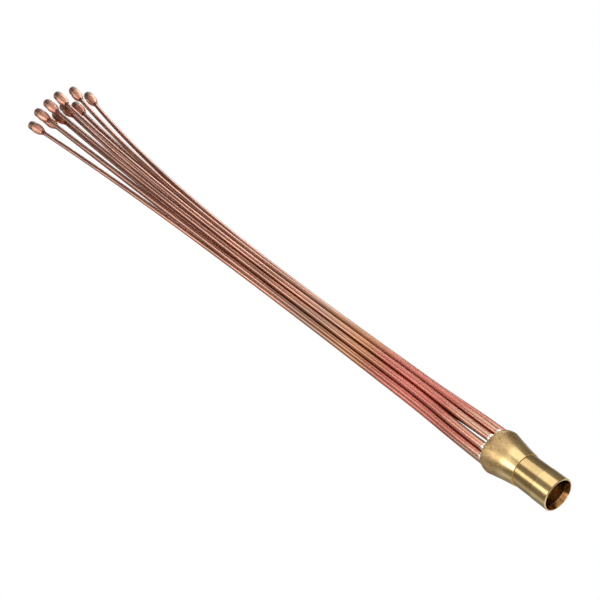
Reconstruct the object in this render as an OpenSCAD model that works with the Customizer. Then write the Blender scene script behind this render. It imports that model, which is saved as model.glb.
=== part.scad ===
// Refrigerant distributor: a turned brass body feeds ten copper lead tubes of equal length, and each
// lead ends in a spun copper cup that slips over a coil tube. The part lies on a flat surface.
// Frame: +X runs along the body's axis from the inlet mouth to the tips, +Z is up, millimetres.
// The origin is on the inlet's axis where the socket's wall starts, just inside the mouth.

/* [Inlet] */
// Bore of the inlet socket, for a 5/8 in tube
socket_d = 15.95; // [12:0.05:20]
// Depth of the inlet socket to its stop shoulder
socket_depth = 13; // [8:0.5:16]
// Width of the stop shoulder
stop_w = 1.5; // [0.8:0.1:2.5]
// Wall of the plain inlet neck round the socket
neck_wall = 1.575; // [1:0.005:2.5]
// How far the socket band at the mouth stands proud of the neck
band_t = 0.15; // [0.05:0.05:0.5]
// Length of the socket band from the socket's start
band_l = 7.3; // [5:0.1:15]
// Chamfer on the outer edge of the mouth
mouth_chamfer = 0.3; // [0.1:0.05:0.5]
// Length of the tapered lead-in from the mouth to the socket's start
mouth_lead = 3; // [1:0.1:5]
// How far the lead-in opens the mouth all round
mouth_flare = 1; // [0.4:0.05:1.1]

/* [Body] */
// Distance from the socket's start to the step where the flare starts
flare_x = 20; // [19:0.1:26]
// How far the start of the flare steps out from the neck
flare_step = 0.5; // [0.2:0.05:1.5]
// Radius of the hollow curve along the flare
flare_round = 200; // [60:5:400]
// Length of the flare from its step to the widest place of the head
flare_l = 17.2; // [14:0.1:22]
// Brass left outside the drilled holes at the widest place of the head
head_wall = 1.47; // [1.2:0.01:4]
// Radius of the rounded shoulder from the widest place to the face
shoulder_round = 9; // [8.5:0.5:16]
// Length of the shoulder from the widest place to the outlet face
shoulder_l = 4.1; // [3:0.1:4.3]

/* [Flow path] */
// Throat diameter
throat_d = 7; // [5:0.1:9]
// Length of the funnel from the stop shoulder to the throat
funnel_l = 6; // [4:0.5:8]
// Length of the throat
throat_l = 2; // [1:0.5:3]
// Length of an outlet passage from the dividing chamber to the end of its lead
passage_l = 2.5; // [2:0.1:4]
// Width of the chamber floor on each side of the outlet passages
chamber_edge = 0.4; // [0.2:0.1:0.6]
// Height of the dividing cone above the chamber floor
cone_l = 8.4; // [5:0.1:10]

/* [Lead tubes] */
// Outside diameter of a lead tube, 3/16 in
tube_d = 4.76; // [4:0.01:5.2]
// Wall of a lead tube
tube_wall = 0.76; // [0.5:0.01:1]
// Length of a lead outside the body, 30 in with the part in its hole
lead_l = 756; // [500:1:1000]
// Straight stub of a lead outside the body
stub_l = 2; // [2:0.5:10]
// Length of each of the two easy bends that take a lead from the ring into the bundle
joggle_l = 36; // [12:0.5:37]
// Clearance between neighbouring leads in the bundle
bundle_gap = 0.37; // [0.1:0.01:1]
// Turn of the bundle against the ring
bundle_turn = 9; // [-15:0.5:15]
// Clearance between the braze collars of neighbouring leads
ring_gap = 0.15; // [0.05:0.05:1]
// Turn of the ring about the axis
ring_turn = -11; // [-18:0.5:18]
// Depth of a lead in its drilled hole
lead_in = 6; // [4:0.5:8]
// A tip nearer than this to its straight run is left straight
straight_below = 0.5; // [0.1:0.1:2]

/* [End cups] */
// Bore of an end cup, for a 3/8 in coil tube
cup_bore = 9.6; // [9:0.05:10]
// Wall of an end cup's collar
cup_wall = 0.8; // [0.5:0.05:1.2]
// How far the shoulder of an end cup stands proud of its collar
cup_proud = 0.45; // [0.1:0.05:0.8]
// Length of an end cup
cup_l = 40; // [35:0.5:50]
// Wall of the cup's neck round the lead
cup_neck_wall = 0.57; // [0.4:0.01:1.2]
// Length of the neck up to the tapered shoulder
cup_neck_l = 3.5; // [1.5:0.5:5]
// Length of the cup's taper
cup_taper_l = 17.5; // [8:0.5:22]
// Length of the cup's straight shoulder between the taper and the collar
cup_shoulder_l = 4; // [2:0.5:8]
// Depth of the lead in the neck
cup_neck_in = 5.5; // [2:0.5:8]

/* [Braze] */
// Clearance all round a lead in a brazed joint
braze_gap = 0.05; // [0.03:0.01:0.1]
// Thickness of a braze collar at its foot
collar_t = 0.4; // [0.2:0.05:0.45]
// Length of a braze collar along the lead
collar_l = 1.8; // [0.8:0.1:3]

/* [Tips: place across the axis and lift off the surface the part lies on] */
// Tip of lead 1
tip_1 = [-21, 20.5]; // [-80:0.5:80]
// Tip of lead 2
tip_2 = [-41, 18.5]; // [-80:0.5:80]
// Tip of lead 3
tip_3 = [-56, 5]; // [-80:0.5:80]
// Tip of lead 4
tip_4 = [-36.5, 0]; // [-80:0.5:80]
// Tip of lead 5
tip_5 = [-22, 5]; // [-80:0.5:80]
// Tip of lead 6
tip_6 = [-9.5, 0]; // [-80:0.5:80]
// Tip of lead 7
tip_7 = [4, 0]; // [-80:0.5:80]
// Tip of lead 8
tip_8 = [23, 0]; // [-80:0.5:80]
// Tip of lead 9
tip_9 = [9.5, 11.5]; // [-80:0.5:80]
// Tip of lead 10
tip_10 = [-5.5, 17]; // [-80:0.5:80]

/* [Springs: distance from the face to where a lead starts to bend out to its tip] */
// Spring of lead 1
spring_1 = 140; // [60:5:300]
// Spring of lead 2
spring_2 = 195; // [60:5:300]
// Spring of lead 3
spring_3 = 135; // [60:5:300]
// Spring of lead 4
spring_4 = 160; // [60:5:300]
// Spring of lead 5
spring_5 = 240; // [60:5:300]
// Spring of lead 6
spring_6 = 200; // [60:5:300]
// Spring of lead 7
spring_7 = 135; // [60:5:300]
// Spring of lead 8
spring_8 = 95; // [60:5:300]
// Spring of lead 9
spring_9 = 95; // [60:5:300]
// Spring of lead 10
spring_10 = 80; // [60:5:300]

/* [Hidden] */
$fn = 64;
tips = [tip_1, tip_2, tip_3, tip_4, tip_5, tip_6, tip_7, tip_8, tip_9, tip_10];
springs = [spring_1, spring_2, spring_3, spring_4, spring_5,
           spring_6, spring_7, spring_8, spring_9, spring_10];
leads = len(tips);
tube_bore = tube_d - 2 * tube_wall;
joint_d = tube_d + 2 * braze_gap;
collar_d = cup_bore + 2 * cup_wall;
cup_d = collar_d + 2 * cup_proud;
cup_neck_d = joint_d + 2 * cup_neck_wall;
// the leads stand as close round the ring as their braze collars allow
ring_r = round(100 * (joint_d + 2 * collar_t + ring_gap) / (2 * sin(180 / leads))) / 100;
bundle_r = round(100 * (tube_d + bundle_gap) / (2 * sin(180 / leads))) / 100;
neck_d = socket_d + 2 * neck_wall;
band_d = neck_d + 2 * band_t;
flare_d = neck_d + 2 * flare_step;
head_d = 2 * (ring_r + joint_d / 2 + head_wall);
head_x = flare_x + flare_l;
face_x = head_x + shoulder_l;
throat_x = socket_depth + funnel_l;
chamber_x = face_x - lead_in - passage_l;
cone_x = chamber_x - cone_l;
floor_z = -head_d / 2;
mouth_x = -mouth_lead;
cup_reach = cup_l - cup_neck_in;
// the taper is an arc that runs smoothly into the cup's straight shoulder
taper_x = cup_neck_l + cup_taper_l;
taper_drop = (cup_d - cup_neck_d) / 2;
taper_r = (pow(cup_taper_l, 2) + pow(taper_drop, 2)) / (2 * taper_drop);
over = 1;

brass = "#b4944e";
copper = "#a8674c";
silver_braze = "#d9d3c8";
copper_braze = "#8a5340";

// place of lead i on the ring and in the bundle, across and up
function slot(i) = let (a = ring_turn + i * 360 / leads) ring_r * [-sin(a), cos(a)];
function bundled(i) = let (a = ring_turn + bundle_turn + i * 360 / leads) bundle_r * [-sin(a), cos(a)];
// two equal and opposite bends take every lead the same way into the bundle
joggle_d = norm(bundled(0) - slot(0));
joggle_bend = round(1000 * joggle_d / joggle_l * 180 / PI) / 1000;
joggle_r = round(10 * joggle_l / (joggle_bend * PI / 180)) / 10;
joggle_x = 2 * joggle_r * sin(joggle_bend);
joggle_side = 2 * joggle_r * (1 - cos(joggle_bend));
function joggle_roll(i) = let (s = bundled(i) - slot(i)) round(100 * atan2(s[1], s[0])) / 100;
// A turn's sine and cosine are handed on with six digits, which would stretch what comes after the turn
// by a millionth and leave a ledge in the tube. The nearest turn whose digits keep their length is taken.
function six(x) = abs(x) < 1e-9 ? 0 : let (k = pow(10, 5 - floor(log(abs(x))))) round(x * k) / k;
function even_turn(a) =
    let (off = [for (k = [-20 : 20]) abs(norm([six(cos(a + k / 1000)), six(sin(a + k / 1000))]) - 1)])
    a + (search(min(off), off)[0] - 20) / 1000;
// how far the cup mouth of lead i is sprung from its place in the bundle
function shift(i) = [tips[i][0], floor_z + cup_d / 2 + tips[i][1]] - bundled(i);
// turn about the axis from the plane of lead i's joggle to the plane of its long bend
function roll(i) = let (s = shift(i)) even_turn(round(100 * atan2(s[1], s[0])) / 100 - joggle_roll(i));
function run(i) = springs[i] - stub_l - joggle_x;
function arc_l(i) = lead_l - springs[i];
// bend of lead i in degrees: an even arc, then the straight cup
function bend(i) = let (s = norm(shift(i)))
    s < straight_below ? 0 : round(10000 * s / (arc_l(i) / 2 + cup_reach) * 180 / PI) / 10000;
function bend_r(i) = round(10 * arc_l(i) / (bend(i) * PI / 180)) / 10;

// a profile drawn as [radius, distance along] is spun about the X axis
module spun() {
    rotate([0, 90, 0]) rotate_extrude() children();
}

module band(r, from, to) {
    translate([0, from]) square([r, to - from]);
}

// flare and head: under the hollow curve, and inside the shoulder from just before the widest place
module head_profile() {
    rise = [head_d / 2 - flare_d / 2, head_x - flare_x];
    middle = [flare_d / 2, flare_x] + rise / 2;
    sag = sqrt(pow(flare_round, 2) - pow(norm(rise) / 2, 2));
    centre = middle + sag * [rise[1], -rise[0]] / norm(rise);
    shoulder_from = head_x - shoulder_round / 4;
    intersection() {
        difference() {
            band(head_d, flare_x, face_x);
            translate(centre) circle(r = flare_round, $fn = 4 * $fn);
        }
        union() {
            band(head_d, flare_x - over, shoulder_from);
            translate([head_d / 2 - shoulder_round, head_x]) circle(r = shoulder_round);
        }
    }
}

// socket, throat and the ring-shaped chamber round the dividing cone
module flow_profile() {
    in_r = ring_r - tube_bore / 2 - chamber_edge;
    out_r = ring_r + tube_bore / 2 + chamber_edge;
    stop_r = socket_d / 2 - stop_w;
    band(socket_d / 2, mouth_x - over, socket_depth);
    polygon([[0, mouth_x - over], [socket_d / 2 + mouth_flare * (1 + over / mouth_lead), mouth_x - over],
             [socket_d / 2, 0], [0, 0]]);
    polygon([[0, socket_depth - over], [stop_r, socket_depth - over], [stop_r, socket_depth],
             [throat_d / 2, throat_x], [throat_d / 2, throat_x + throat_l],
             [out_r, chamber_x], [in_r, chamber_x], [0, cone_x]]);
}

module at_slots() {
    for (i = [0 : leads - 1]) translate([0, slot(i)[0], slot(i)[1]]) children();
}

module rod(d, from, to) {
    translate([from, 0, 0]) rotate([0, 90, 0]) cylinder(d = d, h = to - from);
}

module distributor_body() {
    color(brass) difference() {
        spun() difference() {
            union() {
                band(band_d / 2, mouth_x + mouth_chamfer, band_l);
                polygon([[0, mouth_x], [band_d / 2 - mouth_chamfer, mouth_x],
                         [band_d / 2, mouth_x + mouth_chamfer], [0, mouth_x + mouth_chamfer]]);
                band(neck_d / 2, band_l - over, flare_x + over);
                head_profile();
            }
            flow_profile();
        }
        at_slots() {
            rod(joint_d, face_x - lead_in - braze_gap, face_x + over);
            rod(tube_bore, chamber_x - chamber_edge / 2, face_x - lead_in);
        }
    }
}

module wall_ring() {
    difference() {
        circle(d = tube_d);
        circle(d = tube_bore);
    }
}

// a length of tube along +X, and one that bends from +X towards +Y
module straight_tube(length) {
    rotate([0, 90, 0]) linear_extrude(length) wall_ring();
}

module bent_tube(r, angle) {
    translate([0, r, 0]) rotate([0, 0, -90]) rotate_extrude(angle = angle) translate([r, 0]) wall_ring();
}

// a move in two steps, so that six digits of each step place a long bend's far end exactly
module moved(v) {
    near = [for (x = v) round(1000 * x) / 1000];
    translate(near) translate(v - near) children();
}

// moves to where lead i has joined the bundle, with +Y towards its tip
module at_bundle(i) {
    translate([face_x, slot(i)[0], slot(i)[1]]) rotate([joggle_roll(i), 0, 0])
        moved([stub_l + joggle_x, joggle_side, 0]) rotate([roll(i), 0, 0]) children();
}

// moves to the end of lead i's bend, heading on along +X
module at_lead_end(i) {
    at_bundle(i)
        if (bend(i) == 0) translate([run(i) + arc_l(i), 0, 0]) children();
        else moved([run(i) + bend_r(i) * sin(bend(i)), bend_r(i) * (1 - cos(bend(i))), 0])
            rotate([0, 0, bend(i)]) children();
}

module lead_tube(i) {
    color(copper) {
        translate([face_x, slot(i)[0], slot(i)[1]]) rotate([joggle_roll(i), 0, 0]) {
            translate([-lead_in, 0, 0]) straight_tube(lead_in + stub_l);
            translate([stub_l, 0, 0]) bent_tube(joggle_r, joggle_bend);
            moved([stub_l + joggle_x, joggle_side, 0]) rotate([180, 180, 0])
                bent_tube(joggle_r, joggle_bend);
        }
        at_bundle(i) {
            straight_tube(bend(i) == 0 ? run(i) + arc_l(i) : run(i));
            if (bend(i) != 0) translate([run(i), 0, 0]) bent_tube(bend_r(i), bend(i));
        }
    }
}

// the taper's arc, as the outside of the wall or, one wall in, its inside
module taper_profile(wall) {
    intersection() {
        translate([cup_d / 2 - taper_r, taper_x]) circle(r = taper_r - wall, $fn = 4 * $fn);
        band(cup_d, cup_neck_l, taper_x);
    }
}

module cup_profile() {
    difference() {
        union() {
            band(cup_neck_d / 2, 0, taper_x);
            taper_profile(0);
            band(cup_d / 2, taper_x, taper_x + cup_shoulder_l);
            band(collar_d / 2, taper_x, cup_l);
        }
        band(joint_d / 2, -over, taper_x);
        taper_profile((cup_d - cup_bore) / 2);
        band(cup_bore / 2, taper_x, cup_l + over);
    }
}

module end_cup(i) {
    color(copper) at_lead_end(i) translate([-cup_neck_in, 0, 0]) spun() cup_profile();
}

// a collar of filler that runs out along the lead from its foot at 0
module collar(length) {
    spun() polygon([[joint_d / 2, 0], [joint_d / 2 + collar_t, 0],
                    [joint_d / 2 + collar_t / 4, length], [joint_d / 2, length]]);
}

module body_braze() {
    color(silver_braze) translate([face_x, 0, 0]) at_slots() collar(collar_l);
}

module cup_braze() {
    color(copper_braze) for (i = [0 : leads - 1])
        at_lead_end(i) translate([-cup_neck_in, 0, 0]) mirror([1, 0, 0]) collar(collar_l / 2);
}

distributor_body();
lead_tube(0);  // lead_tube_1
lead_tube(1);  // lead_tube_2
lead_tube(2);  // lead_tube_3
lead_tube(3);  // lead_tube_4
lead_tube(4);  // lead_tube_5
lead_tube(5);  // lead_tube_6
lead_tube(6);  // lead_tube_7
lead_tube(7);  // lead_tube_8
lead_tube(8);  // lead_tube_9
lead_tube(9);  // lead_tube_10
end_cup(0);  // end_cup_1
end_cup(1);  // end_cup_2
end_cup(2);  // end_cup_3
end_cup(3);  // end_cup_4
end_cup(4);  // end_cup_5
end_cup(5);  // end_cup_6
end_cup(6);  // end_cup_7
end_cup(7);  // end_cup_8
end_cup(8);  // end_cup_9
end_cup(9);  // end_cup_10
body_braze();
cup_braze();
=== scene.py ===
# %% [markdown]
# # Refrigerant distributor
# A turned brass body feeds ten copper lead tubes, and each lead ends in a spun copper cup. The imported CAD
# model is the fixed frame: it gives the body, the cups and the braze, and says where everything lies.
# This script dresses that frame. It makes the leads again with a rounder section, gives each metal its
# own finish, and sets up the floor, the light and the camera. Lengths are in metres, and MM turns a size
# in millimetres into metres.

# %% Load the frame
import math

import bmesh
import bpy
from mathutils import Matrix, Vector


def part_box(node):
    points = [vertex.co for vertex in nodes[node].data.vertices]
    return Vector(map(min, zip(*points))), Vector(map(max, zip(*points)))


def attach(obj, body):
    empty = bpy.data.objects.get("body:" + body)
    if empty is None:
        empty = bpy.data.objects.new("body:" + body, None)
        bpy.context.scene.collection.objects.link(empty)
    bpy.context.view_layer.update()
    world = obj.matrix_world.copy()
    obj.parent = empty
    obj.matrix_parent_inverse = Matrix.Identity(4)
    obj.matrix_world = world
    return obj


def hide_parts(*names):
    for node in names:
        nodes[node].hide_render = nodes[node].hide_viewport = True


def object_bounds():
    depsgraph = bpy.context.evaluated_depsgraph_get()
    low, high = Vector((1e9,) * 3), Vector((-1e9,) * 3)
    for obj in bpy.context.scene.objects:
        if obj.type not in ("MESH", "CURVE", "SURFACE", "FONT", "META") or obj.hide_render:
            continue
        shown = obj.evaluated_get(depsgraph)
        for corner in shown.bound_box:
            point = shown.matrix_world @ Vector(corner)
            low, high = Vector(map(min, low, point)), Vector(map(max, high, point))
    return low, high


MM = 0.001
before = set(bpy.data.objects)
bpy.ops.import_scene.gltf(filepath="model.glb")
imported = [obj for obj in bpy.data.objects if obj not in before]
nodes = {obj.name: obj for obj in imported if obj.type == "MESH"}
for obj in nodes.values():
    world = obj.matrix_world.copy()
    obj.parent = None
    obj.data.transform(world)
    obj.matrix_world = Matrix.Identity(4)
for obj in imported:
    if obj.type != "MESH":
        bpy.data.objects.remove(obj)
cad_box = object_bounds()
print("nodes in the frame:", len(nodes))

# %% [markdown]
# ## Camera
# The photograph was taken from above and behind the inlet, with the camera rolled a little. A target and a
# Track To constraint would keep the camera level, so the place and the three turns are set directly. They
# come from fitting the mouth, the head and the ten leads of the solid model to the picture.

# %% Camera
CAMERA_PLACE = Vector((-214.51, 196.37, 360.69)) * MM
CAMERA_TURN = (52.988, 13.697, -123.391)
CAMERA_LENS = 50.82
SENSOR_WIDTH = 36.0
NEAR_CLIP = 10 * MM

camera_data = bpy.data.cameras.new("photo_camera")
camera_data.sensor_width = SENSOR_WIDTH
camera_data.lens = CAMERA_LENS
camera_data.clip_start = NEAR_CLIP
camera = bpy.data.objects.new("photo_camera", camera_data)
camera.location = CAMERA_PLACE
camera.rotation_euler = [math.radians(turn) for turn in CAMERA_TURN]
bpy.context.scene.collection.objects.link(camera)
bpy.context.scene.camera = camera
print("camera distance to the mouth:", round(camera.location.length, 4))

# %% [markdown]
# ## Lead tubes
# On the real part each lead is drawn copper tube. It comes straight out of the body, is gathered into the
# bundle by two small opposite bends, runs straight, and is then sprung into one long even bend. The frame's
# leads have few sides, because a mesh of a long thin tube is kept light. A curve with a bevel would be
# round too, but it has no bore. Here a circle for the outside and one for the bore are pulled along the
# straight runs and spun about the centre of each bend, which is just how the solid model is built, so the
# new lead lies exactly where the old one was.

# %% Lead sizes, as in the solid model
TUBE_D = 4.76 * MM
TUBE_BORE = 3.24 * MM
LEAD_LENGTH = 756 * MM
LEAD_DEPTH = 6 * MM
STUB = 2 * MM
FACE_X = 41.3 * MM
# where each cup's mouth lies across the axis, and how far it is lifted off the floor, in mm
TIPS = [(-21, 20.5), (-41, 18.5), (-56, 5), (-36.5, 0), (-22, 5),
        (-9.5, 0), (4, 0), (23, 0), (9.5, 11.5), (-5.5, 17)]
# how far from the face each lead starts its long bend, in mm
SPRINGS = [140, 195, 135, 160, 240, 200, 135, 95, 95, 80]
print("leads:", len(TIPS), "cut length in mm:", round((LEAD_LENGTH + LEAD_DEPTH) / MM, 1))

# %% Places on the ring, in the bundle and at the tips
RING_RADIUS = 9.4 * MM
RING_TURN = -11.0
BUNDLE_RADIUS = 8.3 * MM
BUNDLE_TURN = 9.0
FLOOR_Z = -13.3 * MM
CUP_RADIUS = 6.05 * MM


def on_circle(number, radius, turn):
    angle = math.radians(turn + number * 360 / len(TIPS))
    return Vector((FACE_X, -radius * math.sin(angle), radius * math.cos(angle)))


def ring_place(number):
    return on_circle(number, RING_RADIUS, RING_TURN)


def bundle_place(number):
    return on_circle(number, BUNDLE_RADIUS, RING_TURN + BUNDLE_TURN)


def tip_shift(number):
    across, lift = TIPS[number]
    start = bundle_place(number)
    return Vector((0, across * MM - start.y, FLOOR_Z + CUP_RADIUS + lift * MM - start.z))


shifts = [round(tip_shift(number).length / MM, 1) for number in range(len(TIPS))]
print("each tip's distance from its lead's straight run, in mm:", shifts)

# %% The joggle that gathers a lead into the bundle
JOGGLE_LENGTH = 36 * MM
JOGGLE_BEND = (bundle_place(0) - ring_place(0)).length / JOGGLE_LENGTH
JOGGLE_RADIUS = JOGGLE_LENGTH / JOGGLE_BEND
JOGGLE_RUN = 2 * JOGGLE_RADIUS * math.sin(JOGGLE_BEND)
print("joggle bend in degrees:", round(math.degrees(JOGGLE_BEND), 2))
print("joggle run in mm:", round(JOGGLE_RUN / MM, 2))

# %% Pull a rim straight, or spin it about the centre of a bend
AHEAD = Vector((1, 0, 0))


def pulled(shape, rim, run):
    grown = bmesh.ops.extrude_edge_only(shape, edges=rim)["geom"]
    corners = [vert for vert in grown if isinstance(vert, bmesh.types.BMVert)]
    bmesh.ops.translate(shape, vec=run * AHEAD, verts=corners)
    return [edge for edge in grown if isinstance(edge, bmesh.types.BMEdge)]


def bent(shape, rim, centre, axis, angle, steps):
    corners = list({vert for edge in rim for vert in edge.verts})
    last = bmesh.ops.spin(shape, geom=rim + corners, cent=centre, axis=axis, angle=angle,
                          steps=steps)["geom_last"]
    return [edge for edge in last if isinstance(edge, bmesh.types.BMEdge)]


print("rims are pulled along", tuple(AHEAD))

# %% Draw one lead
SIDES = 32
BEND_STEPS = 36
JOGGLE_STEPS = 6
# from the end of the tube to the mouth of its cup
CUP_REACH = 34.5 * MM


def lead_shape(number):
    root, joined = ring_place(number), bundle_place(number)
    inwards = (joined - root).normalized()
    outwards = tip_shift(number).normalized()
    spring = SPRINGS[number] * MM
    bend_length = LEAD_LENGTH - spring
    bend_angle = tip_shift(number).length / (bend_length / 2 + CUP_REACH)
    bend_radius = bend_length / bend_angle
    start = Matrix.Translation(root - LEAD_DEPTH * AHEAD) @ Matrix.Rotation(math.pi / 2, 4, "Y")
    shape = bmesh.new()
    first_rims, last_rims = [], []
    for radius in (TUBE_D / 2, TUBE_BORE / 2):
        corners = bmesh.ops.create_circle(shape, segments=SIDES, radius=radius, matrix=start)["verts"]
        rim = list({edge for vert in corners for edge in vert.link_edges})
        first_rims += rim
        rim = pulled(shape, rim, LEAD_DEPTH + STUB)
        rim = bent(shape, rim, root + STUB * AHEAD + JOGGLE_RADIUS * inwards, AHEAD.cross(inwards),
                   JOGGLE_BEND, JOGGLE_STEPS)
        rim = bent(shape, rim, joined + (STUB + JOGGLE_RUN) * AHEAD - JOGGLE_RADIUS * inwards,
                   -AHEAD.cross(inwards), JOGGLE_BEND, JOGGLE_STEPS)
        rim = pulled(shape, rim, spring - STUB - JOGGLE_RUN)
        rim = bent(shape, rim, joined + spring * AHEAD + bend_radius * outwards, AHEAD.cross(outwards),
                   bend_angle, BEND_STEPS)
        last_rims += rim
    bmesh.ops.bridge_loops(shape, edges=first_rims)
    bmesh.ops.bridge_loops(shape, edges=last_rims)
    bmesh.ops.recalc_face_normals(shape, faces=shape.faces)
    for face in shape.faces:
        face.smooth = True
    return shape


print("sides round a lead:", SIDES, "steps along its long bend:", BEND_STEPS)


# %% Put the leads in the frame
def drawn_lead(number):
    mesh = bpy.data.meshes.new("drawn_lead_%d" % (number + 1))
    shape = lead_shape(number)
    shape.to_mesh(mesh)
    shape.free()
    lead = bpy.data.objects.new(mesh.name, mesh)
    bpy.context.scene.collection.objects.link(lead)
    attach(lead, "root")
    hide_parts("lead_tube_%d" % (number + 1))
    return lead


leads = [drawn_lead(number) for number in range(len(TIPS))]
for number, lead in enumerate(leads):
    old_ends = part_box("lead_tube_%d" % (number + 1))[1]
    new_ends = [max(vert.co[axis] for vert in lead.data.vertices) for axis in range(3)]
    off = [round((new - old) / MM, 3) for new, old in zip(new_ends, old_ends)]
    print(lead.name, "faces:", len(lead.data.polygons), "ends off by mm:", off)

# %% [markdown]
# ## Metals
# Every finish below is a node material, set up from Object coordinates. Each piece's place is in its mesh,
# so these coordinates are the frame's own: X runs along the body and the leads, and a pattern or a band can
# be put at a known place on the part. Four helpers serve all the finishes. One turns the sRGB hex of a
# colour chart into the linear numbers that shaders use, one adds a node with its settings and links, one
# starts an empty material, and one puts it on a piece.

# %% Material helpers
def linear(hex_colour):
    channels = [int(hex_colour[i:i + 2], 16) / 255 for i in (1, 3, 5)]
    return [c / 12.92 if c <= 0.04045 else ((c + 0.055) / 1.055) ** 2.4 for c in channels] + [1.0]


def add(tree, kind, inputs=None, stops=None, **settings):
    made = tree.nodes.new(kind)
    for name, value in settings.items():
        setattr(made, name, value)
    for name, value in (inputs or {}).items():
        if isinstance(value, bpy.types.NodeSocket):
            tree.links.new(value, made.inputs[name])
        else:
            made.inputs[name].default_value = value
    for place, (position, colour) in enumerate(stops or []):
        elements = made.color_ramp.elements
        element = elements[place] if place < 2 else elements.new(position)
        element.position = position
        element.color = linear(colour)
    return made


def new_material(name):
    material = bpy.data.materials.new(name)
    material.use_nodes = True
    material.node_tree.nodes.clear()
    return material, material.node_tree


def dress(piece, material):
    piece.data.materials.clear()
    piece.data.materials.append(material)


print("mid grey #808080 in linear numbers:", [round(channel, 3) for channel in linear("#808080")])

# %% [markdown]
# ## Drawn copper tube
# The leads are copper tube that was drawn through a die, which leaves lines along them. The torch that
# brazed them into the body then coloured the first 200 mm: clean and light at the joint, then salmon red,
# then a yellow-brown band. Past that lies the even brown film of copper that was kept in air. One plain
# colour would look like paint, and a picture texture would show its seam on every tube. Here a ramp along
# X lays down the bands, and two stretched noises break them up, one for patches and one for the lines.

# %% Patches and drawing lines on the copper
# satin copper: long soft highlights in the metal's own pink, with each tube a little different in tone
drawn_copper, tree = new_material("drawn_copper_oxidised")
place = add(tree, "ShaderNodeTexCoord").outputs["Object"]
lead_x = add(tree, "ShaderNodeSeparateXYZ", {"Vector": place}).outputs["X"]
# patches some 50 mm long and almost two tubes wide, so that neighbouring leads differ
PATCH_SCALE = (1 / (50 * MM), 1 / (8 * MM), 1 / (8 * MM))
patch_place = add(tree, "ShaderNodeMapping", {"Vector": place, "Scale": PATCH_SCALE}).outputs["Vector"]
patches = add(tree, "ShaderNodeTexNoise",
              {"Vector": patch_place, "Scale": 1.0, "Detail": 0.5}).outputs["Fac"]
# lines some 110 mm long and 4 mm wide: real ones are finer than 0.1 mm, so they are drawn coarse to show
LINE_SCALE = (1 / (110 * MM), 1 / (4 * MM), 1 / (4 * MM))
line_place = add(tree, "ShaderNodeMapping", {"Vector": place, "Scale": LINE_SCALE}).outputs["Vector"]
lines = add(tree, "ShaderNodeTexNoise",
            {"Vector": line_place, "Scale": 1.0, "Detail": 0.0}).outputs["Fac"]
print("patches per metre:", [round(scale, 1) for scale in PATCH_SCALE],
      "lines per metre:", [round(scale, 1) for scale in LINE_SCALE])

# %% Bands of oxide along a lead
# how far a patch moves the edge of a band
BAND_WANDER = 70 * MM
NOISE_MIDDLE = 0.5
OXIDE_ALONG_LEAD = [(0.0, "#ecb89e"), (0.012, "#e4a68e"), (0.03, "#d68676"), (0.11, "#d08072"),
                    (0.145, "#bc8464"), (0.19, "#b48466"), (0.22, "#ac8674"), (0.28, "#ba8670"),
                    (0.45, "#c08a76"), (0.6, "#b4806c"), (1.0, "#bc8672")]
wander = add(tree, "ShaderNodeMath", {0: patches, 1: NOISE_MIDDLE}, operation="SUBTRACT").outputs["Value"]
band_x = add(tree, "ShaderNodeMath", {0: wander, 1: BAND_WANDER, 2: lead_x},
             operation="MULTIPLY_ADD").outputs["Value"]
share = add(tree, "ShaderNodeMapRange", {"Value": band_x, "From Min": FACE_X,
                                         "From Max": FACE_X + LEAD_LENGTH}).outputs["Result"]
copper_colour = add(tree, "ShaderNodeValToRGB", {"Fac": share}, stops=OXIDE_ALONG_LEAD).outputs["Color"]
for position, colour in OXIDE_ALONG_LEAD:
    print(round(position * LEAD_LENGTH / MM), "mm from the face:", colour)

# %% Lines and film over the oxide
# most values of a noise lie in the narrow range, and nearly all of them in the wide one
NARROW_NOISE = {"From Min": 0.35, "From Max": 0.65}
WIDE_NOISE = {"From Min": 0.3, "From Max": 0.7}
LINE_SHADE = {"To Min": 0.78, "To Max": 1.0}
# away from the torch the lines are filled by an even film, from 15 mm to 150 mm past the face
FILM_GROWTH = {"From Min": 0.02, "From Max": 0.2}
FILM_SHADE = 0.95
# the film is thicker in some patches than in others
PATCH_SHADE = {"To Min": 0.8, "To Max": 1.08}
streak = add(tree, "ShaderNodeMapRange", {"Value": lines, **WIDE_NOISE, **LINE_SHADE}).outputs["Result"]
film = add(tree, "ShaderNodeMapRange", {"Value": share, **FILM_GROWTH}).outputs["Result"]
streak = add(tree, "ShaderNodeMix", {"Factor": film, "A": streak, "B": FILM_SHADE}).outputs["Result"]
copper_colour = add(tree, "ShaderNodeVectorMath", {0: copper_colour, 1: streak}, operation="MULTIPLY").outputs["Vector"]
cloud = add(tree, "ShaderNodeMapRange",
            {"Value": patches, **NARROW_NOISE, **PATCH_SHADE}).outputs["Result"]
copper_colour = add(tree, "ShaderNodeVectorMath", {0: copper_colour, 1: cloud}, operation="MULTIPLY").outputs["Vector"]
print("film starts in mm past the face:", round(FILM_GROWTH["From Min"] * LEAD_LENGTH / MM))

# %% Gloss of the copper
# grey levels that are 0.35, 0.46, 0.39 and 0.28 once linear: the heated end is matt, the rest is satin
ROUGH_ALONG_LEAD = [(0.0, "#a0a0a0"), (0.05, "#b4b4b4"), (0.13, "#a8a8a8"), (0.2, "#909090"),
                    (1.0, "#909090")]
rough = add(tree, "ShaderNodeValToRGB", {"Fac": share}, stops=ROUGH_ALONG_LEAD).outputs["Color"]
shader = add(tree, "ShaderNodeBsdfPrincipled", {"Base Color": copper_colour, "Metallic": 1.0, "Roughness": rough})
add(tree, "ShaderNodeOutputMaterial", {"Surface": shader.outputs["BSDF"]})
for lead in leads:
    dress(lead, drawn_copper)
print(drawn_copper.name, "nodes:", len(tree.nodes), "leads dressed:", len(leads))
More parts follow.
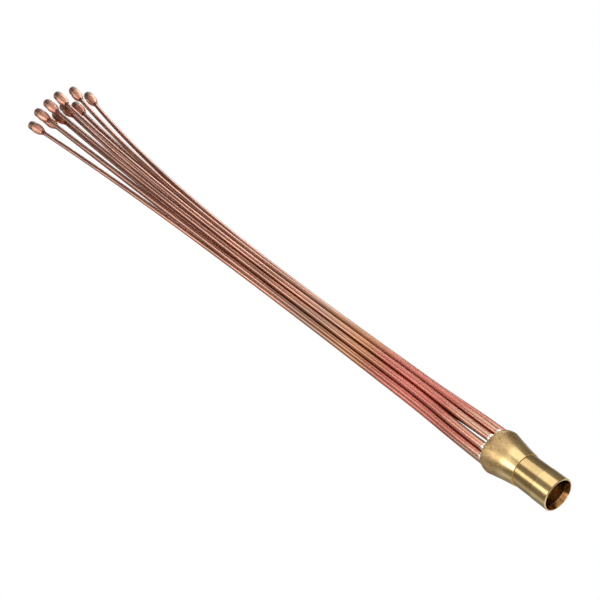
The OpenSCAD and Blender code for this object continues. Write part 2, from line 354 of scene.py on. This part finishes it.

# %% [markdown]
# ## Spun copper cups
# Each cup is a short copper tube whose end was spun down to a neck that fits the lead. Its dome is
# painted light, a painted highlight, and its mouth half is painted dark brown, painted shade. Two materials
# on each cup would give a hard edge that wanders with the mesh, so one ramp along X holds both, with a
# quick change where the dome ends. A noise of small heat marks keeps the spun metal from looking cast.

# %% Spun copper cups
# spun copper: a painted highlight on the dome, with small marks in it, and a mouth darkened by painted
# shade
CUPS_START = 795 * MM
CUPS_END = 835 * MM
# the light stops are a painted highlight on the dome; the dark stops from 0.56 on are painted shade on the
# mouth half
CUP_TONE_WITH_PAINTED_LIGHT = [(0.0, "#e0a890"), (0.3, "#dea890"), (0.52, "#c4907a"), (0.56, "#886656"),
                   (1.0, "#806052")]
HEAT_MARK = 3 * MM
MARK_SHADE = {"To Min": 0.84, "To Max": 1.06}
MARK_ROUGH = {"To Min": 0.56, "To Max": 0.44}
spun_copper, tree = new_material("spun_copper_painted_light")
place = add(tree, "ShaderNodeTexCoord").outputs["Object"]
cup_x = add(tree, "ShaderNodeSeparateXYZ", {"Vector": place}).outputs["X"]
share = add(tree, "ShaderNodeMapRange",
            {"Value": cup_x, "From Min": CUPS_START, "From Max": CUPS_END}).outputs["Result"]
copper_colour = add(tree, "ShaderNodeValToRGB", {"Fac": share}, stops=CUP_TONE_WITH_PAINTED_LIGHT).outputs["Color"]
marks = add(tree, "ShaderNodeTexNoise",
            {"Vector": place, "Scale": 1 / HEAT_MARK, "Detail": 0.5}).outputs["Fac"]
stain = add(tree, "ShaderNodeMapRange", {"Value": marks, **NARROW_NOISE, **MARK_SHADE}).outputs["Result"]
copper_colour = add(tree, "ShaderNodeVectorMath", {0: copper_colour, 1: stain}, operation="MULTIPLY").outputs["Vector"]
rough = add(tree, "ShaderNodeMapRange", {"Value": marks, **WIDE_NOISE, **MARK_ROUGH}).outputs["Result"]
shader = add(tree, "ShaderNodeBsdfPrincipled", {"Base Color": copper_colour, "Metallic": 1.0, "Roughness": rough})
add(tree, "ShaderNodeOutputMaterial", {"Surface": shader.outputs["BSDF"]})
for number in range(len(TIPS)):
    dress(nodes["end_cup_%d" % (number + 1)], spun_copper)
print(spun_copper.name, "nodes:", len(tree.nodes), "cups dressed:", len(TIPS))

# %% [markdown]
# ## Turned brass
# The body was turned from brass bar on a lathe, so the neck is bright and the light lies on it in long
# bands. The torch dulled the head and left stains and dark specks by the outlet face. A plain brass shader
# would be even all over, and painted masks would need an unwrapped body. Here too a ramp along X does most
# of it: its edge is moved by a cloudy noise. A line of painted shade at the band's end and a painted
# highlight on the step's face are put at their own X.

# %% Brass along the body
# turned brass: clear yellow and glossy at the mouth, going to a dull, mottled olive at the face
MOTTLE = 4 * MM
CLOUD = 9 * MM
STAIN_WANDER = 12 * MM
BRASS_ALONG_BODY = [(0.0, "#f8da9c"), (0.62, "#f8da9c"), (0.76, "#d6b680"), (0.9, "#ccac7c"),
                    (1.0, "#b89a70")]
TARNISH_SHADE = {"To Min": 0.84, "To Max": 1.0}
DULLING = {"From Min": 0.5, "From Max": 0.95, "To Min": 0.2, "To Max": 0.55}
turned_brass, tree = new_material("turned_brass")
place = add(tree, "ShaderNodeTexCoord").outputs["Object"]
axes = add(tree, "ShaderNodeSeparateXYZ", {"Vector": place}).outputs
mottle = add(tree, "ShaderNodeTexNoise", {"Vector": place, "Scale": 1 / MOTTLE, "Detail": 4.0,
                                          "Roughness": 0.6}).outputs["Fac"]
cloud = add(tree, "ShaderNodeTexNoise",
            {"Vector": place, "Scale": 1 / CLOUD, "Detail": 2.0}).outputs["Fac"]
wander = add(tree, "ShaderNodeMath", {0: cloud, 1: NOISE_MIDDLE}, operation="SUBTRACT").outputs["Value"]
stain_x = add(tree, "ShaderNodeMath", {0: wander, 1: STAIN_WANDER, 2: axes["X"]},
              operation="MULTIPLY_ADD").outputs["Value"]
share = add(tree, "ShaderNodeMapRange",
            {"Value": stain_x, "From Min": 0.0, "From Max": FACE_X}).outputs["Result"]
brass = add(tree, "ShaderNodeValToRGB", {"Fac": share}, stops=BRASS_ALONG_BODY).outputs["Color"]
tarnish = add(tree, "ShaderNodeMapRange",
              {"Value": mottle, **NARROW_NOISE, **TARNISH_SHADE}).outputs["Result"]
brass = add(tree, "ShaderNodeVectorMath", {0: brass, 1: tarnish}, operation="MULTIPLY").outputs["Vector"]
rough = add(tree, "ShaderNodeMapRange", {"Value": share, **DULLING}).outputs["Result"]
print("brass starts to dull at mm:", round(DULLING["From Min"] * FACE_X / MM, 1))

# %% Specks that the torch left near the face
SPECK = 1.6 * MM
SPECK_EDGE = {"From Min": 0.56, "From Max": 0.66}
SPECK_REACH = {"From Min": 0.7, "From Max": 0.85, "To Max": 0.5}
SPECK_BROWN = linear("#5c4a30")
speck_noise = add(tree, "ShaderNodeTexNoise",
                  {"Vector": place, "Scale": 1 / SPECK, "Detail": 3.0}).outputs["Fac"]
specks = add(tree, "ShaderNodeMapRange", {"Value": speck_noise, **SPECK_EDGE}).outputs["Result"]
near_face = add(tree, "ShaderNodeMapRange", {"Value": share, **SPECK_REACH}).outputs["Result"]
specks = add(tree, "ShaderNodeMath", {0: specks, 1: near_face}, operation="MULTIPLY").outputs["Value"]
brass = add(tree, "ShaderNodeMix", {"Factor": specks, "A": brass, "B": SPECK_BROWN},
            data_type="RGBA").outputs["Result"]
print("specks start at mm:", round(SPECK_REACH["From Min"] * FACE_X / MM, 1))

# %% Duller neck past the band at the mouth
BAND_END = 7.3 * MM
STEP_X = 20 * MM
BAND_DULL = 0.2
NECK_DULL = 0.25
DULL_BRASS = linear("#a08254")
past_band = add(tree, "ShaderNodeMath", {0: axes["X"], 1: BAND_END},
                operation="GREATER_THAN").outputs["Value"]
before_step = add(tree, "ShaderNodeMath", {0: axes["X"], 1: STEP_X},
                  operation="LESS_THAN").outputs["Value"]
dull = add(tree, "ShaderNodeMath", {0: past_band, 1: NECK_DULL, 2: BAND_DULL},
           operation="MULTIPLY_ADD").outputs["Value"]
dull = add(tree, "ShaderNodeMath", {0: dull, 1: before_step}, operation="MULTIPLY").outputs["Value"]
brass = add(tree, "ShaderNodeMix", {"Factor": dull, "A": brass, "B": DULL_BRASS},
            data_type="RGBA").outputs["Result"]
print("band ends at mm:", round(BAND_END / MM, 2))

# %% Painted shade line round the band's end, and a painted highlight on the step
# a thin brown line painted at the band's end: painted shade where the band steps down to the neck
SHADE_LINE_HALF = 0.15 * MM
SHADE_LINE_STRENGTH = 0.5
BAND_END_SHADE_BROWN = linear("#6e5630")
band_end_shade = add(tree, "ShaderNodeMath", {0: axes["X"], 1: BAND_END, 2: SHADE_LINE_HALF},
           operation="COMPARE").outputs["Value"]
band_end_shade = add(tree, "ShaderNodeMath", {0: band_end_shade, 1: SHADE_LINE_STRENGTH}, operation="MULTIPLY").outputs["Value"]
brass = add(tree, "ShaderNodeMix", {"Factor": band_end_shade, "A": brass, "B": BAND_END_SHADE_BROWN},
            data_type="RGBA").outputs["Result"]
# the face of the step is left matt by the tool, and painted a light brass: a painted highlight that hides
# the dark reflection of the neck in it
STEP_SLACK = 0.05 * MM
STEP_MATT = 0.5
STEP_PAINTED_LIGHT = linear("#ead09a")
step_face = add(tree, "ShaderNodeMath", {0: axes["X"], 1: STEP_X, 2: STEP_SLACK},
                operation="COMPARE").outputs["Value"]
brass = add(tree, "ShaderNodeMix", {"Factor": step_face, "A": brass, "B": STEP_PAINTED_LIGHT},
            data_type="RGBA").outputs["Result"]
rough = add(tree, "ShaderNodeMath", {0: step_face, 1: STEP_MATT, 2: rough},
            operation="MULTIPLY_ADD").outputs["Value"]
print("step at mm:", round(STEP_X / MM, 2), "painted shade line wide in mm:", round(2 * SHADE_LINE_HALF / MM, 2))

# %% Painted shade in the bore, and the brass shader
# the bore is painted brown from just inside the rim, painted shade in the mouth, and paler deeper down
BORE_RADIUS = 8.93 * MM
BORE_FADE = {"From Min": -1 * MM, "From Max": 1 * MM}
RIM_SHADE_BROWN = linear("#966a40")
BORE_PALE = linear("#d4bc98")
across = add(tree, "ShaderNodeCombineXYZ", {"Y": axes["Y"], "Z": axes["Z"]}).outputs["Vector"]
radius = add(tree, "ShaderNodeVectorMath", {0: across}, operation="LENGTH").outputs["Value"]
inside = add(tree, "ShaderNodeMath", {0: radius, 1: BORE_RADIUS}, operation="LESS_THAN").outputs["Value"]
fade = add(tree, "ShaderNodeMapRange", {"Value": axes["X"], **BORE_FADE}).outputs["Result"]
bore = add(tree, "ShaderNodeMix", {"Factor": fade, "A": RIM_SHADE_BROWN, "B": BORE_PALE},
           data_type="RGBA").outputs["Result"]
brass = add(tree, "ShaderNodeMix", {"Factor": inside, "A": brass, "B": bore},
            data_type="RGBA").outputs["Result"]
shader = add(tree, "ShaderNodeBsdfPrincipled", {"Base Color": brass, "Metallic": 1.0, "Roughness": rough})
add(tree, "ShaderNodeOutputMaterial", {"Surface": shader.outputs["BSDF"]})
dress(nodes["distributor_body"], turned_brass)
print(turned_brass.name, "nodes:", len(tree.nodes))

# %% [markdown]
# ## Braze
# The joints were made with a filler that melts and is drawn into the gap, leaving a small collar outside
# it. The collars on the body are silver filler, almost white. Those on the cups' necks are a copper filler
# that the flame left brown. The collars are solids of the frame, so only their finish is made here. The
# two differ in colour alone, and one loop builds both.

# %% Braze collars
# flowed filler: bright and uneven, with shiny places where it flowed and dull ones where flux stayed
BLOTCH = 1.4 * MM
BLOTCH_ROUGH = {"To Min": 0.5, "To Max": 0.3}
FILLERS = [("silver_braze", "body_braze", [(0.35, "#d8cec2"), (0.6, "#f6f1ea")]),
           ("copper_braze", "cup_braze", [(0.35, "#7a4636"), (0.65, "#9c6450")])]
for name, collars, tones in FILLERS:
    braze, tree = new_material(name)
    place = add(tree, "ShaderNodeTexCoord").outputs["Object"]
    blotch = add(tree, "ShaderNodeTexNoise",
                 {"Vector": place, "Scale": 1 / BLOTCH, "Detail": 2.0}).outputs["Fac"]
    filler = add(tree, "ShaderNodeValToRGB", {"Fac": blotch}, stops=tones).outputs["Color"]
    rough = add(tree, "ShaderNodeMapRange", {"Value": blotch, **BLOTCH_ROUGH}).outputs["Result"]
    shader = add(tree, "ShaderNodeBsdfPrincipled",
                 {"Base Color": filler, "Metallic": 1.0, "Roughness": rough})
    add(tree, "ShaderNodeOutputMaterial", {"Surface": shader.outputs["BSDF"]})
    dress(nodes[collars], braze)
    print(braze.name, "on", collars)

# %% [markdown]
# ## Floor
# The part lies on white paper that is lit until nothing of it shows, not even a shadow. A lit paper floor
# would need far more light than the metals can take. So the floor here glows evenly and is hidden from
# reflections, bounced light and shadows, and the metals reflect the room of the next step instead.

# %% Floor
FLOOR_SIZE = 40.0
FLOOR_CENTRE_X = 0.4
WHITE = linear("#ffffff")
floor_shape = bmesh.new()
bmesh.ops.create_grid(floor_shape, x_segments=1, y_segments=1, size=FLOOR_SIZE / 2)
bmesh.ops.translate(floor_shape, vec=(FLOOR_CENTRE_X, 0, cad_box[0][2]), verts=floor_shape.verts)
floor_mesh = bpy.data.meshes.new("studio_floor")
floor_shape.to_mesh(floor_mesh)
floor_shape.free()
floor = bpy.data.objects.new("studio_floor", floor_mesh)
floor.visible_glossy = False
floor.visible_diffuse = False
floor.visible_shadow = False
bpy.context.scene.collection.objects.link(floor)
# overlit paper: flat white with no grain left to see
floor_white, tree = new_material("white_paper")
shader = add(tree, "ShaderNodeEmission", {"Color": WHITE, "Strength": 1.0})
add(tree, "ShaderNodeOutputMaterial", {"Surface": shader.outputs["Emission"]})
dress(floor, floor_white)
print("floor at Z in mm:", round(cad_box[0][2] / MM, 2))

# %% [markdown]
# ## Room
# Polished metal shows its surroundings, so the room matters as much as the lamps. A plain grey world would
# leave the tubes flat, and a picture of a studio isn't needed for so few tones. A ramp over the height of
# the ray's direction gives a grey room, with a paler strip below the horizon for the paper, and one patch
# in front of the mouth for the paper that the neck and the rim reflect. The Standard view transform keeps
# the white paper white.

# %% Room
# from straight down at 0 to straight up at 1
ROOM_BY_HEIGHT = [(0.0, "#8c8c8c"), (0.1, "#909090"), (0.2, "#d0d0d0"), (0.27, "#c0c0c0"),
                  (0.36, "#7c7670"), (0.5, "#746e68"), (0.6, "#7c7670"), (1.0, "#8c8884")]
MOUTH_SIDE = {"From Min": -0.1, "From Max": -0.35}
LIT_PAPER = linear("#f4f4f4")
world = bpy.data.worlds.new("studio")
world.use_nodes = True
tree = world.node_tree
heading = add(tree, "ShaderNodeTexCoord").outputs["Generated"]
directions = add(tree, "ShaderNodeSeparateXYZ", {"Vector": heading}).outputs
height = add(tree, "ShaderNodeMapRange", {"Value": directions["Z"], "From Min": -1.0,
                                          "From Max": 1.0}).outputs["Result"]
room = add(tree, "ShaderNodeValToRGB", {"Fac": height}, stops=ROOM_BY_HEIGHT).outputs["Color"]
# the lit paper in front of the mouth
in_front = add(tree, "ShaderNodeMapRange", {"Value": directions["X"], **MOUTH_SIDE}).outputs["Result"]
below = add(tree, "ShaderNodeMath", {0: directions["Z"], 1: 0.0}, operation="LESS_THAN").outputs["Value"]
paper = add(tree, "ShaderNodeMath", {0: in_front, 1: below}, operation="MULTIPLY").outputs["Value"]
room = add(tree, "ShaderNodeMix", {"Factor": paper, "A": room, "B": LIT_PAPER},
           data_type="RGBA").outputs["Result"]
# past the edge of the floor the camera sees the same white paper
seen = add(tree, "ShaderNodeLightPath").outputs["Is Camera Ray"]
room = add(tree, "ShaderNodeMix", {"Factor": seen, "A": room, "B": WHITE},
           data_type="RGBA").outputs["Result"]
tree.links.new(room, tree.nodes["Background"].inputs["Color"])
bpy.context.scene.world = world
bpy.context.scene.view_settings.view_transform = "Standard"
print("room nodes:", len(tree.nodes))

# %% [markdown]
# ## Softboxes
# Long tubes want long lamps: a strip on each side gives every lead one bright line from end to end. Point
# lamps would give hard dots. Each softbox is an area lamp set by its radiance, which is how bright it looks
# in the metal, so it can be made larger or smaller without a change in its reflection.

# %% Softboxes
# place, point aimed at, width and height, radiance
SOFTBOXES = {
    "overhead_softbox": ((0.4, -0.35, 1.0), (0.4, -0.35, 0), (1.6, 1.1), 1.1),
    "left_softbox": ((0.25, 1.05, 0.6), (0.25, 0, 0), (1.3, 0.45), 1.7),
    "far_left_softbox": ((1.9, 1.05, 0.6), (1.9, 0, 0), (2.0, 0.45), 3.2),
    "right_softbox": ((2.3, -0.9, 0.35), (2.3, 0, 0), (3.0, 0.6), 3.2),
    "key_softbox": ((0.12, 1.04, 0.65), (0.02, 0, 0), (0.6, 0.55), 1.8),
    "fill_softbox": ((-0.05, 0.6, 0.95), (0, 0, 0), (0.6, 0.5), 1.4),
    "low_softbox": ((2.4, 1.05, 0.15), (2.4, 0, 0.1), (3.2, 0.4), 1.5),
    "cup_softbox": ((2.9, -0.2, 3.0), (0.8, 0, 0), (1.0, 1.0), 2.6),
}
for name, (place, aim, size, radiance) in SOFTBOXES.items():
    data = bpy.data.lights.new(name, "AREA")
    data.shape = "RECTANGLE"
    data.size, data.size_y = size
    data.energy = radiance * math.pi * size[0] * size[1]
    lamp = bpy.data.objects.new(name, data)
    lamp.location = place
    lamp.rotation_euler = (Vector(aim) - Vector(place)).to_track_quat("-Z", "Y").to_euler()
    bpy.context.scene.collection.objects.link(lamp)
    print(name, "watts:", round(data.energy, 2))
